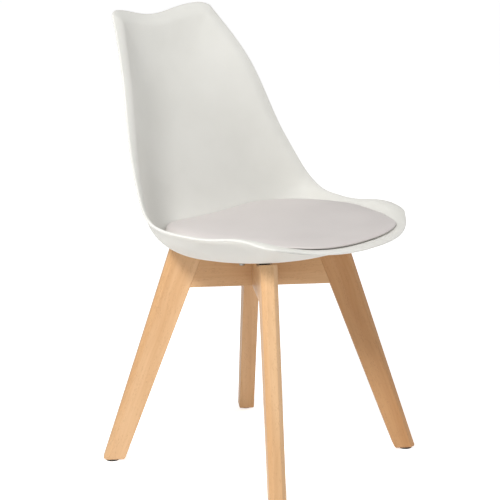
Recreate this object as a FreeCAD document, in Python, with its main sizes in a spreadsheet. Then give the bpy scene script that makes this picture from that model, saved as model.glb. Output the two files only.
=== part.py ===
import FreeCAD, Part
import math
import os
import Sketcher

# Dining chair: a moulded bucket shell with an upholstered seat pad, bolted to a crossed beech frame.
# Millimetres. +Z is up, the sitter faces -Y, the origin is on the floor under the frame's centre.
# Radial sizes are measured from the vertical through that centre, along a leg's diagonal.

SIZES = {
    # frame
    "foot_reach": 298.0,         # leg's outer edge at the floor, radial
    "foot_width": 40.0,          # leg's width at the floor
    "frame_reach": 108.0,        # leg's inner edge at the top of the rails, radial
    "leg_width": 62.0,           # leg's width at the top of the rails
    "leg_thickness": 30.0,
    "leg_rise_outer": 18.0,      # leg's top above the rails at its outer edge
    "leg_rise_inner": 3.0,       # leg's top above the rails at its inner edge
    "leg_bevel": 8.0,            # chamfer on the two outer edges
    "rail_top": 389.0,
    "rail_depth": 57.0,
    "rail_thickness": 30.0,
    "dowel_radius": 4.0,
    "dowel_reach": 18.0,         # length of a dowel inside each piece
    "dowel_margin": 14.0,        # dowel axis to the rail's nearest long edge
    "glide_height": 3.0,
    "glide_radius": 12.0,
    "glide_inset": 19.0,         # glide axis inside the leg's outer edge, radial
    "nail_radius": 1.25,
    "nail_head_radius": 3.0,
    "nail_head_height": 0.8,
    "nail_recess": 1.6,
    "nail_clearance": 0.2,
    "nail_length": 16.0,         # above the glide
    # shell fixing
    "bolt_circle": 88.0,         # bolt axis from the frame's centre, radial
    "bolt_radius": 3.0,
    "bolt_clearance": 0.4,
    "bolt_head_radius": 5.0,
    "bolt_head_height": 6.0,
    "bolt_engagement": 9.0,      # bolt inside the insert
    "counterbore_radius": 8.5,
    "counterbore_depth": 14.0,
    "washer_radius": 7.5,
    "washer_thickness": 1.6,
    "spring_washer_radius": 5.4,
    "spring_washer_thickness": 1.6,
    "spacer_radius": 9.5,
    "spacer_height": 5.0,
    "boss_radius": 14.0,
    "boss_height": 13.0,
    "insert_radius": 4.5,
    "insert_length": 10.0,
    # shell: its middle line in the plane of symmetry
    "shell_front": 257.2,        # front edge ahead of the frame's centre
    "shell_wall": 5.0,
    "shell_lift": 2.0,           # shell's lowest point above the boss faces
    "ramp_length": 255.5,        # seat from the front edge to its lowest point
    "ramp_angle": 20.1,          # slope at the front edge, degrees
    "bend_length": 197.0,        # seat-to-back bend
    "back_angle": 69.2,          # slope of the back, degrees
    "back_length": 331.5,
    "back_curl": 3.0,            # extra slope gained along the back, degrees
    # shell: half width at the stations along the rim
    "half_width_front": 215.4,
    "half_width_knee": 213.5,
    "half_width_seat": 217.8,
    "half_width_hip": 231.9,
    "half_width_bend": 236.1,
    "half_width_waist": 212.0,
    "half_width_shoulder": 176.3,
    "half_width_horn": 134.3,
    # shell: height of the rim above the middle line at the same stations
    "rise_front": 40.5,
    "rise_knee": 61.3,
    "rise_seat": 65.4,
    "rise_hip": 71.5,
    "rise_bend": 70.9,
    "rise_waist": 57.4,
    "rise_shoulder": 54.6,
    "rise_horn": 27.8,
    # shell: rim details
    "front_bow": 64.0,           # the front corners lie this far behind the front edge
    "front_bow_power": 2.6,
    "corner_cut": 19.2,          # width taken off at the front corners
    "corner_fade": 18.0,         # length over which that cut fades
    "horn_height": 10.8,
    "horn_place": 0.73,          # horn peak as a share of the top's half width
    "horn_fall": 10.2,
    "lip_drop": 4.0,
    "lip_width": 22.0,
    # seat pad
    "pad_half_width": 200.0,
    "pad_front": 240.0,          # pad's front edge ahead of the frame's centre
    "pad_middle": 70.0,          # widest place ahead of the frame's centre
    "pad_rear": 140.0,           # outline behind the frame's centre, where the back cuts it
    "pad_power": 2.6,
    "pad_height": 55.0,          # pad's crown above the shell's lowest point
    "pad_crown": 1.0,            # edges lie this much lower
    "pad_gap": 1.5,              # pad's underside above the shell
    "cover_thickness": 1.2,
    "board_thickness": 5.0,
    "board_inset": 22.0,
    "board_cover": 5.0,          # least padding over the board where the shell rises under it
    "layer_gap": 0.3,
    "cover_turn_in": 34.0,       # width of the cover turned in under the pad
    "cover_opening_drop": 7.0,   # the opening under the pad stays this far below the pad's edges
    "screw_x": 95.0,
    "screw_ahead": 37.0,         # front pair ahead of the frame's centre
    "screw_behind": 28.0,        # rear pair behind the frame's centre
    "screw_radius": 2.5,
    "screw_clearance": 0.3,
    "screw_head_radius": 5.0,
    "screw_head_height": 3.0,
    "screw_pad_radius": 8.0,
    "nut_barrel_radius": 3.6,
    "nut_flange_radius": 8.0,
    "nut_flange_height": 1.2,
    "nut_lift": 8.0,             # tee nuts' flange undersides above the shell's lowest point
    "nut_barrel_length": 5.0,
}

# where the rim stations lie, as shares of the way from the front corner to the horn
RIM_STATIONS = [0.0, 0.07, 0.17, 0.31, 0.47, 0.64, 0.84, 1.0]
RIM_PLACES = ["front", "knee", "seat", "hip", "bend", "waist", "shoulder", "horn"]
# how square the cross-section is along the shell: a high power is a flat pan with steep sides
SECTION_STATIONS = [0.0, 0.2, 0.45, 0.65, 1.0]
SECTION_POWERS = [2.4, 4.2, 5.0, 2.6, 2.4]

QUARTER_TURNS = [45.0, 135.0, 225.0, 315.0]
LEG_NAMES = {
    45.0: "leg_rear_left",
    135.0: "leg_rear_right",
    225.0: "leg_front_right",
    315.0: "leg_front_left",
}
GRID_ACROSS = 33
GRID_ALONG = 57

doc = FreeCAD.newDocument("dining_chair")
sheet = doc.addObject("Spreadsheet::Sheet", "sizes")
for row, (name, number) in enumerate(SIZES.items(), start=1):
    sheet.set(f"A{row}", name)
    sheet.set(f"B{row}", str(number))
    sheet.setAlias(f"B{row}", name)
doc.recompute()

nodes = []


def size(expression):
    """Value of an alias or of an expression in aliases."""
    return float(sheet.evalExpression(expression))


def bound(expression):
    """The same expression as other objects write it, with the sheet's name before each alias."""
    words = []
    word = ""
    for letter in expression + " ":
        if letter.isalnum() or letter == "_":
            word += letter
        else:
            words.append("sizes." + word if word in SIZES else word)
            words.append(letter)
            word = ""
    return "".join(words).strip()


def keep(thing, label):
    thing.Label = label
    nodes.append(thing)
    return thing


# ---- sketch helpers -----------------------------------------------------------------------------

def sketch_on(body, role, name):
    sketch = body.newObject("Sketcher::SketchObject", name)
    plane = [feature for feature in body.Origin.OriginFeatures if feature.Role == role][0]
    sketch.AttachmentSupport = [(plane, "")]
    sketch.MapMode = "FlatFace"
    return sketch


def draw_polygon(sketch, corners):
    """Closed outline whose corners are pairs of expressions, each held to the sketch's origin."""
    points = [FreeCAD.Vector(size(x), size(y), 0) for x, y in corners]
    first = sketch.GeometryCount
    count = len(points)
    for i in range(count):
        sketch.addGeometry(Part.LineSegment(points[i], points[(i + 1) % count]), False)
    for i in range(count):
        sketch.addConstraint(Sketcher.Constraint("Coincident", first + i, 2, first + (i + 1) % count, 1))
    for i, (x, y) in enumerate(corners):
        for kind, expression, number in (("DistanceX", x, points[i].x), ("DistanceY", y, points[i].y)):
            index = sketch.addConstraint(Sketcher.Constraint(kind, -1, 1, first + i, 1, number))
            sketch.setExpression(f"Constraints[{index}]", bound(expression))


def draw_axis(sketch, start, end):
    """Construction line, which the sketch offers as its first own axis."""
    points = [FreeCAD.Vector(size(x), size(y), 0) for x, y in (start, end)]
    line = sketch.addGeometry(Part.LineSegment(points[0], points[1]), True)
    for place, (x, y), point in ((1, start, points[0]), (2, end, points[1])):
        for kind, expression, number in (("DistanceX", x, point.x), ("DistanceY", y, point.y)):
            index = sketch.addConstraint(Sketcher.Constraint(kind, -1, 1, line, place, number))
            sketch.setExpression(f"Constraints[{index}]", bound(expression))


def drill(body, name, axis, outlines):
    """Round hole or holes about one axis in the XZ plane."""
    sketch = sketch_on(body, "XZ_Plane", name + "_sketch")
    draw_axis(sketch, axis[0], axis[1])
    for outline in outlines:
        draw_polygon(sketch, outline)
    before = body.Tip.Shape.Volume
    groove = body.newObject("PartDesign::Groove", name)
    groove.Profile = sketch
    groove.ReferenceAxis = (sketch, ["Axis0"])
    groove.Angle = 360.0
    doc.recompute()
    if groove.Shape.Volume >= before:
        raise RuntimeError(name + " removed nothing")


def place_on_frame(thing, angle):
    turn = FreeCAD.Rotation(FreeCAD.Vector(0, 0, 1), angle)
    thing.Placement = FreeCAD.Placement(FreeCAD.Vector(0, 0, 0), turn)


# ---- legs and rails -----------------------------------------------------------------------------

RAIL_BOTTOM = "rail_top - rail_depth"
BOLT_SEAT = "rail_top - rail_depth + counterbore_depth"
LEG_TOP_OUTER = "rail_top + leg_rise_outer"
LEG_TOP_INNER = "rail_top + leg_rise_inner"
DOWEL_HEIGHTS = {"low": "rail_top - rail_depth + dowel_margin", "high": "rail_top - dowel_margin"}
GLIDE_AXIS = "foot_reach - glide_inset"


def outer_edge(height):
    """Radial place of a leg's outer edge at a height."""
    return f"foot_reach - ({height}) * (foot_reach - frame_reach - leg_width) / rail_top"


def inner_edge(height):
    """Radial place of a leg's inner edge at a height, which is also where the rail ends."""
    return f"foot_reach - foot_width - ({height}) * (foot_reach - foot_width - frame_reach) / rail_top"


def make_leg(angle):
    body = doc.addObject("PartDesign::Body", LEG_NAMES[angle])
    outline = sketch_on(body, "XZ_Plane", "outline")
    draw_polygon(outline, [
        (inner_edge("glide_height"), "glide_height"),
        (outer_edge("glide_height"), "glide_height"),
        (outer_edge(LEG_TOP_OUTER), LEG_TOP_OUTER),
        (inner_edge(LEG_TOP_INNER), LEG_TOP_INNER),
    ])
    pad = body.newObject("PartDesign::Pad", "blank")
    pad.Profile = outline
    pad.SideType = "Symmetric"
    pad.setExpression("Length", bound("leg_thickness"))
    doc.recompute()
    bevelled = []
    for number, edge in enumerate(pad.Shape.Edges, start=1):
        ends = [vertex.Point for vertex in edge.Vertexes]
        on_outer = [abs(end.x - size(outer_edge(str(end.z)))) < 0.01 for end in ends]
        if all(on_outer) and abs(ends[0].y - ends[1].y) < 0.01:
            bevelled.append(f"Edge{number}")
    chamfer = body.newObject("PartDesign::Chamfer", "outer_bevel")
    chamfer.Base = (pad, bevelled)
    chamfer.setExpression("Size", bound("leg_bevel"))
    doc.recompute()
    for tag, height in DOWEL_HEIGHTS.items():
        face = inner_edge(height)
        drill(body, "dowel_hole_" + tag, (("0", height), ("foot_reach", height)), [[
            (face + " - 2 * dowel_radius", height),
            (face + " + dowel_reach", height),
            (face + " + dowel_reach", height + " + dowel_radius"),
            (face + " - 2 * dowel_radius", height + " + dowel_radius"),
        ]])
    drill(body, "nail_hole", ((GLIDE_AXIS, "0"), (GLIDE_AXIS, "rail_top")), [[
        (GLIDE_AXIS, "0"),
        (GLIDE_AXIS + " + nail_radius", "0"),
        (GLIDE_AXIS + " + nail_radius", "glide_height + nail_length"),
        (GLIDE_AXIS, "glide_height + nail_length"),
    ]])
    place_on_frame(body, angle)
    keep(body, LEG_NAMES[angle])


def make_rail(label, angle, notch_from, notch_to):
    body = doc.addObject("PartDesign::Body", label)
    outline = sketch_on(body, "XZ_Plane", "outline")
    draw_polygon(outline, [
        ("-(" + inner_edge(RAIL_BOTTOM) + ")", RAIL_BOTTOM),
        (inner_edge(RAIL_BOTTOM), RAIL_BOTTOM),
        (inner_edge("rail_top"), "rail_top"),
        ("-(" + inner_edge("rail_top") + ")", "rail_top"),
    ])
    pad = body.newObject("PartDesign::Pad", "blank")
    pad.Profile = outline
    pad.SideType = "Symmetric"
    pad.setExpression("Length", bound("rail_thickness"))
    doc.recompute()
    notch = sketch_on(body, "XZ_Plane", "notch_sketch")
    draw_polygon(notch, [
        ("-rail_thickness / 2", notch_from),
        ("rail_thickness / 2", notch_from),
        ("rail_thickness / 2", notch_to),
        ("-rail_thickness / 2", notch_to),
    ])
    pocket = body.newObject("PartDesign::Pocket", "half_lap")
    pocket.Profile = notch
    pocket.SideType = "Symmetric"
    pocket.setExpression("Length", bound("2 * rail_thickness"))
    doc.recompute()
    if pocket.Shape.Volume >= pad.Shape.Volume:
        raise RuntimeError("half lap removed nothing")
    for tag, height in DOWEL_HEIGHTS.items():
        face = inner_edge(height)
        holes = []
        for sign in ("", "-"):
            holes.append([
                (f"{sign}({face} - dowel_reach)", height),
                (f"{sign}({face} + 2 * dowel_radius)", height),
                (f"{sign}({face} + 2 * dowel_radius)", height + " + dowel_radius"),
                (f"{sign}({face} - dowel_reach)", height + " + dowel_radius"),
            ])
        drill(body, "dowel_holes_" + tag, (("-foot_reach", height), ("foot_reach", height)), holes)
    for tag, sign in (("outward", ""), ("inward", "-")):
        axis = f"{sign}bolt_circle"
        drill(body, "bolt_hole_" + tag, ((axis, "0"), (axis, "rail_top")), [[
            (axis, RAIL_BOTTOM + " - 1"),
            (axis + " + counterbore_radius", RAIL_BOTTOM + " - 1"),
            (axis + " + counterbore_radius", BOLT_SEAT),
            (axis + " + bolt_radius + bolt_clearance", BOLT_SEAT),
            (axis + " + bolt_radius + bolt_clearance", "rail_top + 1"),
            (axis, "rail_top + 1"),
        ]])
    place_on_frame(body, angle)
    keep(body, label)


# ---- turned pieces ------------------------------------------------------------------------------

def cylinder(name, centre, bottom, top, radius):
    """Upright Part::Cylinder; centre is a pair of expressions."""
    disc = doc.addObject("Part::Cylinder", name)
    disc.setExpression("Radius", bound(radius))
    disc.setExpression("Height", bound(f"({top}) - ({bottom})"))
    disc.setExpression("Placement.Base.x", bound(centre[0]))
    disc.setExpression("Placement.Base.y", bound(centre[1]))
    disc.setExpression("Placement.Base.z", bound(bottom))
    return disc


def fused(name, pieces):
    if len(pieces) == 1:
        return pieces[0]
    fuse = doc.addObject("Part::MultiFuse", name)
    fuse.Shapes = pieces
    return fuse


def turned_group(label, centres, solids, hollows=()):
    """One upright turned piece at each centre: discs of (bottom, top, radius), less hollows alike."""
    discs = []
    bores = []
    for centre in centres:
        for bottom, top, radius in solids:
            discs.append(cylinder(label + "_disc", centre, bottom, top, radius))
        for bottom, top, radius in hollows:
            bores.append(cylinder(label + "_bore", centre, bottom, top, radius))
    group = fused(label + "_discs", discs)
    if bores:
        cut = doc.addObject("Part::Cut", label + "_turned")
        cut.Base = group
        cut.Tool = fused(label + "_bores", bores)
        group = cut
    return keep(group, label)


def on_diagonals(radius):
    """Centres at one radial distance on the four diagonals of the frame."""
    centres = []
    for angle in QUARTER_TURNS:
        centres.append((f"({radius}) * cos({angle}deg)", f"({radius}) * sin({angle}deg)"))
    return centres


BOSS_FACE = "rail_top + spacer_height"
PAN = "rail_top + spacer_height + shell_lift + shell_wall"
NUT_SEAT = PAN + " + nut_lift"
PAD_TOP = PAN + " + pad_height"
HEAD_TOP = BOLT_SEAT + " - washer_thickness - spring_washer_thickness"
BOLT_AXES = on_diagonals("bolt_circle")
SCREW_AXES = []
for side in ("", "-"):
    for y in ("-screw_ahead", "screw_behind"):
        SCREW_AXES.append((side + "screw_x", y))


def make_dowels():
    dowels = []
    for angle in QUARTER_TURNS:
        for height in DOWEL_HEIGHTS.values():
            start = f"{inner_edge(height)} - dowel_reach"
            dowel = doc.addObject("Part::Cylinder", "dowel")
            dowel.setExpression("Radius", bound("dowel_radius"))
            dowel.setExpression("Height", bound("2 * dowel_reach"))
            across = FreeCAD.Rotation(FreeCAD.Vector(0, 1, 0), 90)
            turn = FreeCAD.Rotation(FreeCAD.Vector(0, 0, 1), angle)
            dowel.Placement = FreeCAD.Placement(FreeCAD.Vector(0, 0, 0), turn.multiply(across))
            dowel.setExpression("Placement.Base.x", bound(f"({start}) * cos({angle}deg)"))
            dowel.setExpression("Placement.Base.y", bound(f"({start}) * sin({angle}deg)"))
            dowel.setExpression("Placement.Base.z", bound(height))
            dowels.append(dowel)
    keep(fused("dowels", dowels), "leg_dowels")


def make_fixings():
    turned_group("frame_bolts", BOLT_AXES, [
        (HEAD_TOP + " - bolt_head_height", HEAD_TOP, "bolt_head_radius"),
        (HEAD_TOP, BOSS_FACE + " + bolt_engagement", "bolt_radius"),
    ])
    turned_group(
        "spring_washers", BOLT_AXES,
        [(HEAD_TOP, HEAD_TOP + " + spring_washer_thickness", "spring_washer_radius")],
        [(HEAD_TOP + " - 1", BOLT_SEAT, "bolt_radius + bolt_clearance / 2")])
    turned_group(
        "flat_washers", BOLT_AXES,
        [(BOLT_SEAT + " - washer_thickness", BOLT_SEAT, "washer_radius")],
        [(HEAD_TOP, BOLT_SEAT + " + 1", "bolt_radius + bolt_clearance / 2")])
    turned_group(
        "mount_spacers", BOLT_AXES,
        [("rail_top", BOSS_FACE, "spacer_radius")],
        [("rail_top - 1", BOSS_FACE + " + 1", "bolt_radius + bolt_clearance")])
    turned_group(
        "shell_inserts", BOLT_AXES,
        [(BOSS_FACE, BOSS_FACE + " + insert_length", "insert_radius")],
        [(BOSS_FACE + " - 1", BOSS_FACE + " + insert_length + 1", "bolt_radius")])
    turned_group("pad_screws", SCREW_AXES, [
        (BOSS_FACE + " - screw_head_height", BOSS_FACE, "screw_head_radius"),
        (BOSS_FACE, NUT_SEAT + " + nut_flange_height", "screw_radius"),
    ])
    turned_group(
        "tee_nuts", SCREW_AXES,
        [(NUT_SEAT + " - nut_barrel_length", NUT_SEAT, "nut_barrel_radius"),
         (NUT_SEAT, NUT_SEAT + " + nut_flange_height", "nut_flange_radius")],
        [(NUT_SEAT + " - nut_barrel_length - 1", NUT_SEAT + " + nut_flange_height + 1", "screw_radius")])


def make_glides():
    for angle, centre in zip(QUARTER_TURNS, on_diagonals(GLIDE_AXIS)):
        turned_group(
            LEG_NAMES[angle].replace("leg", "glide"), [centre],
            [("0", "glide_height", "glide_radius")],
            [("-1", "nail_recess", "nail_head_radius + nail_clearance"),
             ("0", "glide_height + 1", "nail_radius")])
    turned_group("glide_nails", on_diagonals(GLIDE_AXIS), [
        ("nail_recess - nail_head_height", "nail_recess", "nail_head_radius"),
        ("nail_recess", "glide_height + nail_length", "nail_radius"),
    ])


# ---- shell --------------------------------------------------------------------------------------

def smooth_through(stations, values):
    """Natural cubic spline through the stations, as a function."""
    count = len(stations)
    gaps = [stations[i + 1] - stations[i] for i in range(count - 1)]
    slopes = [(values[i + 1] - values[i]) / gaps[i] for i in range(count - 1)]
    ratio = [0.0] * count
    bends = [0.0] * count
    for i in range(1, count - 1):
        pivot = 2 * (gaps[i - 1] + gaps[i]) - gaps[i - 1] * ratio[i - 1]
        ratio[i] = gaps[i] / pivot
        bends[i] = (6 * (slopes[i] - slopes[i - 1]) - gaps[i - 1] * bends[i - 1]) / pivot
    for i in range(count - 2, 0, -1):
        bends[i] -= ratio[i] * bends[i + 1]

    def value(at):
        i = 0
        while i < count - 2 and at > stations[i + 1]:
            i += 1
        low = (stations[i + 1] - at) / gaps[i]
        high = (at - stations[i]) / gaps[i]
        sag = (low ** 3 - low) * bends[i] + (high ** 3 - high) * bends[i + 1]
        return low * values[i] + high * values[i + 1] + sag * gaps[i] ** 2 / 6

    return value


def clamp(number, low=0.0, high=1.0):
    return max(low, min(high, number))


class Shell:
    """Inner face of the bucket shell: a middle line in the YZ plane with a section raised across it.

    u runs from -1 to 1 across the shell, v from 0 at the front edge to 1 at the top edge.
    """

    STEP = 1.0                   # along the middle line
    MARGIN = 60.0                # middle line beyond both ends
    NORMAL_REACH = 0.95          # beyond these shares the wall keeps the direction it has there
    NORMAL_REACH_FRONT = 0.98
    NORMAL_REACH_TOP = 0.985

    def __init__(self):
        self.dims = {name: size(name) for name in SIZES}
        dims = self.dims
        self.length = dims["ramp_length"] + dims["bend_length"] + dims["back_length"]
        self.half_width = smooth_through(RIM_STATIONS, [dims["half_width_" + place] for place in RIM_PLACES])
        self.rise = smooth_through(RIM_STATIONS, [dims["rise_" + place] for place in RIM_PLACES])
        self.power = smooth_through(SECTION_STATIONS, SECTION_POWERS)
        self.trace_middle_line()

    def heading(self, along):
        dims = self.dims
        ramp = max(0.0, 1 - along / dims["ramp_length"])
        turn = clamp((along - dims["ramp_length"]) / dims["bend_length"])
        past = max(0.0, along - dims["ramp_length"] - dims["bend_length"])
        degrees = -dims["ramp_angle"] * ramp + dims["back_angle"] * turn * turn * (3 - 2 * turn)
        return math.radians(degrees + dims["back_curl"] * past / dims["back_length"])

    def trace_middle_line(self):
        count = int((self.length + 2 * self.MARGIN) / self.STEP) + 1
        points = [(0.0, 0.0)]
        for i in range(count):
            turn = self.heading((i + 0.5) * self.STEP - self.MARGIN)
            y, z = points[-1]
            points.append((y + math.cos(turn) * self.STEP, z + math.sin(turn) * self.STEP))
        front = points[int(self.MARGIN / self.STEP)]
        shift_y = -self.dims["shell_front"] - front[0]
        shift_z = size(PAN) - min(z for y, z in points)
        self.middle = [(y + shift_y, z + shift_z) for y, z in points]

    def middle_point(self, along):
        place = (along + self.MARGIN) / self.STEP
        i = int(place)
        part = place - i
        return [(1 - part) * a + part * b for a, b in zip(self.middle[i], self.middle[i + 1])]

    def top_edge(self, share):
        dims = self.dims
        peak = dims["horn_place"]
        if share < peak:
            return self.length + dims["horn_height"] * (1 - math.cos(math.pi * share / peak)) / 2
        beyond = (share - peak) / (1 - peak)
        return self.length + dims["horn_height"] - dims["horn_fall"] * beyond ** 3

    def lip(self, share, v, half_width):
        width = self.dims["lip_width"]
        side = clamp(1 - half_width * (1 - share) / width)
        front = clamp(1 - v * self.length / width)
        top = clamp(1 - (1 - v) * self.length / width)
        return self.dims["lip_drop"] * (1 - (1 - side ** 2) * (1 - front ** 2) * (1 - top ** 2))

    def surface_point(self, u, v):
        dims = self.dims
        share = abs(u)
        front = dims["front_bow"] * share ** dims["front_bow_power"]
        along = (1 - v) * front + v * self.top_edge(share)
        cut = dims["corner_cut"] * math.exp(-v * self.length / dims["corner_fade"])
        half_width = self.half_width(v) - cut
        height = self.rise(v) * share ** self.power(v) - self.lip(share, v, half_width)
        y, z = self.middle_point(along)
        turn = self.heading(along)
        return FreeCAD.Vector(u * half_width, y - height * math.sin(turn), z + height * math.cos(turn))

    def normal(self, u, v):
        """Unit normal on the sitter's side, taken a little inside the outline."""
        near = 0.004
        u = clamp(u, -self.NORMAL_REACH, self.NORMAL_REACH)
        v = clamp(v, 1 - self.NORMAL_REACH_FRONT, self.NORMAL_REACH_TOP)
        across = self.surface_point(u + near, v) - self.surface_point(u - near, v)
        along = self.surface_point(u, v + near) - self.surface_point(u, v - near)
        normal = across.cross(along)
        normal.normalize()
        return normal

    def point(self, u, v, lift):
        return self.surface_point(u, v) + self.normal(u, v) * lift

    def face(self, lift, reach=1.0, v_from=0.0, v_to=1.0):
        """Smooth face parallel to the shell, lift above its inner face."""
        rows = []
        for i in range(GRID_ACROSS):
            u = reach * math.sin(math.pi * (i / (GRID_ACROSS - 1) - 0.5))
            row = []
            for j in range(GRID_ALONG):
                v = v_from + (v_to - v_from) * (1 - math.cos(math.pi * j / (GRID_ALONG - 1))) / 2
                row.append(self.point(u, v, lift))
            rows.append(row)
        surface = Part.BSplineSurface()
        surface.interpolate(rows)
        return surface.toShape()


def closed_between(inner, outer):
    """Solid between two faces with the same four-sided outline."""
    faces = [inner, outer]
    for edge in inner.Edges:
        middle = edge.valueAt((edge.FirstParameter + edge.LastParameter) / 2)
        nearest = min(outer.Edges, key=lambda other: other.distToShape(Part.Vertex(middle))[0])
        faces.append(Part.makeRuledSurface(edge, nearest))
    sewn = Part.makeShell(faces)
    sewn.sewShape()
    solid = Part.Solid(sewn)
    if solid.Volume < 0:
        solid.reverse()
    return solid


def upright(radius, bottom, top, centre):
    base = FreeCAD.Vector(size(centre[0]), size(centre[1]), bottom)
    return Part.makeCylinder(radius, top - bottom, base)


def make_shell(shell):
    wall = size("shell_wall")
    solid = closed_between(shell.face(0.0), shell.face(-wall))
    face = size(BOSS_FACE)
    pan = size(PAN)
    for centre in BOLT_AXES:
        solid = solid.fuse(upright(size("boss_radius"), face, face + size("boss_height"), centre))
    for centre in SCREW_AXES:
        solid = solid.fuse(upright(size("screw_pad_radius"), face, pan, centre))
    for centre in BOLT_AXES:
        solid = solid.cut(upright(size("insert_radius"), face - 1, face + size("insert_length"), centre))
    for centre in SCREW_AXES:
        bore = size("screw_radius + screw_clearance")
        solid = solid.cut(upright(bore, face - 1, size(NUT_SEAT), centre))
    node = doc.addObject("Part::Feature", "seat_shell")
    node.Shape = solid.Solids[0]
    node.Placement = FreeCAD.Placement()
    keep(node, "seat_shell")


# ---- seat pad -----------------------------------------------------------------------------------

CUT_HEIGHT = 200.0               # tall enough for every cut through the pad
OUTLINE_POINTS = 48
CEILING_POINTS = 9
CEILING_MARGIN = 20.0            # crowned top beyond the pad's outline
FLOOR_REACH = 0.985              # the pad's floor follows the shell over these shares of its u and v
FLOOR_FRONT = 0.012
FLOOR_BACK = 0.56


def pad_prism(inset, bottom, top):
    """Upright prism on the pad's plan outline, drawn in by inset."""
    power = size("pad_power")
    middle = -size("pad_middle")
    half_width = size("pad_half_width") - inset
    ahead = size("pad_front - pad_middle") - inset
    behind = size("pad_rear + pad_middle") - inset
    points = []
    for i in range(OUTLINE_POINTS):
        turn = 2 * math.pi * i / OUTLINE_POINTS
        x = math.cos(turn)
        y = math.sin(turn)
        swell = (abs(x) ** power + abs(y) ** power) ** (-1 / power)
        reach = behind if y > 0 else ahead
        points.append(FreeCAD.Vector(half_width * x * swell, middle + reach * y * swell, bottom))
    outline = Part.BSplineCurve()
    outline.interpolate(points, PeriodicFlag=True)
    return Part.Face(Part.Wire(outline.toShape())).extrude(FreeCAD.Vector(0, 0, top - bottom))


def pad_ceiling(drop):
    """Solid under the pad's crowned top, lowered by drop."""
    half_width = size("pad_half_width") + CEILING_MARGIN
    middle = -size("pad_middle")
    reach = size("pad_rear + pad_middle") + CEILING_MARGIN
    top = size(PAD_TOP) - drop
    shares = [2 * i / (CEILING_POINTS - 1) - 1 for i in range(CEILING_POINTS)]
    rows = []
    for across in shares:
        row = []
        for along in shares:
            sag = size("pad_crown") * (across ** 2 + along ** 2) / 2
            row.append(FreeCAD.Vector(across * half_width, middle + along * reach, top - sag))
        rows.append(row)
    surface = Part.BSplineSurface()
    surface.interpolate(rows)
    return surface.toShape().extrude(FreeCAD.Vector(0, 0, -CUT_HEIGHT))


def shell_floor(shell, lift):
    """Solid above the shell's seat, lift above its inner face."""
    return shell.face(lift, FLOOR_REACH, FLOOR_FRONT, FLOOR_BACK).extrude(FreeCAD.Vector(0, 0, CUT_HEIGHT))


def pad_layer(shell, lift, inset, drop):
    """Everything above the shell by lift, within the outline and under the crowned top."""
    floor = shell_floor(shell, lift)
    prism = pad_prism(inset, size("rail_top"), size("rail_top") + CUT_HEIGHT)
    return pad_ceiling(drop).common(prism).common(floor)


def largest_solid(shape):
    return max(shape.Solids, key=lambda solid: solid.Volume)


def make_pad(shell):
    gap = size("pad_gap")
    skin = size("cover_thickness")
    slack = size("layer_gap")
    board_low = gap + skin + slack
    board_high = board_low + size("board_thickness")
    outside = pad_layer(shell, gap, 0.0, 0.0)
    inside = pad_layer(shell, gap + skin, skin, skin)
    foam = pad_layer(shell, board_high + slack, skin + slack, skin + slack)
    board = pad_layer(shell, board_low, size("board_inset"), size("board_cover"))
    board = board.cut(shell_floor(shell, board_high))
    cover = outside.cut(inside)
    opening_top = size(PAD_TOP) - size("pad_crown + cover_opening_drop")
    cover = cover.cut(pad_prism(size("cover_turn_in"), size("rail_top"), opening_top))
    nut_seat = size(NUT_SEAT)
    flange = nut_seat + size("nut_flange_height")
    boss_top = size(BOSS_FACE) + size("boss_height")
    for centre in BOLT_AXES:
        clear = size("boss_radius") + 2 * slack
        board = board.cut(upright(clear, size("rail_top"), boss_top + slack, centre))
        foam = foam.cut(upright(clear, size("rail_top"), boss_top + slack, centre))
    for centre in SCREW_AXES:
        wide = size("nut_flange_radius") + slack
        board = board.cut(upright(wide, nut_seat, nut_seat + CUT_HEIGHT, centre))
        board = board.cut(upright(size("nut_barrel_radius"), size("rail_top"), nut_seat, centre))
        foam = foam.cut(upright(wide, size("rail_top"), flange + slack, centre))
    for label, shape in (("pad_cover", cover), ("pad_foam", foam), ("pad_board", board)):
        node = doc.addObject("Part::Feature", label)
        node.Shape = largest_solid(shape)
        node.Placement = FreeCAD.Placement()
        keep(node, label)


# ---- the chair ----------------------------------------------------------------------------------

for quarter in QUARTER_TURNS:
    make_leg(quarter)
LAP = "rail_top - rail_depth / 2"
make_rail("cross_rail_upper", 45.0, RAIL_BOTTOM + " - 1", LAP)
make_rail("cross_rail_lower", 135.0, LAP, "rail_top + 1")
make_dowels()
make_fixings()
make_glides()
bucket = Shell()
make_shell(bucket)
make_pad(bucket)
doc.recompute()

for thing in doc.Objects:
    if "Invalid" in thing.State or "Error" in thing.State:
        raise RuntimeError(f"{thing.Label} failed: {thing.State}")
for node in nodes:
    if node.Shape.isNull() or not node.Shape.isValid():
        raise RuntimeError(f"{node.Label} has a bad shape")

os.makedirs("parts", exist_ok=True)
for node in nodes:
    node.Shape.exportStep(f"parts/{node.Label}.step")
    print(f"{node.Label}: {len(node.Shape.Solids)} solids, {node.Shape.Volume / 1000:.1f} cm3")
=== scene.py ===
import math

import bmesh
import bpy
import numpy as np
from mathutils import Matrix, Vector
from mathutils.bvhtree import BVHTree
from mathutils.kdtree import KDTree


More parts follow.
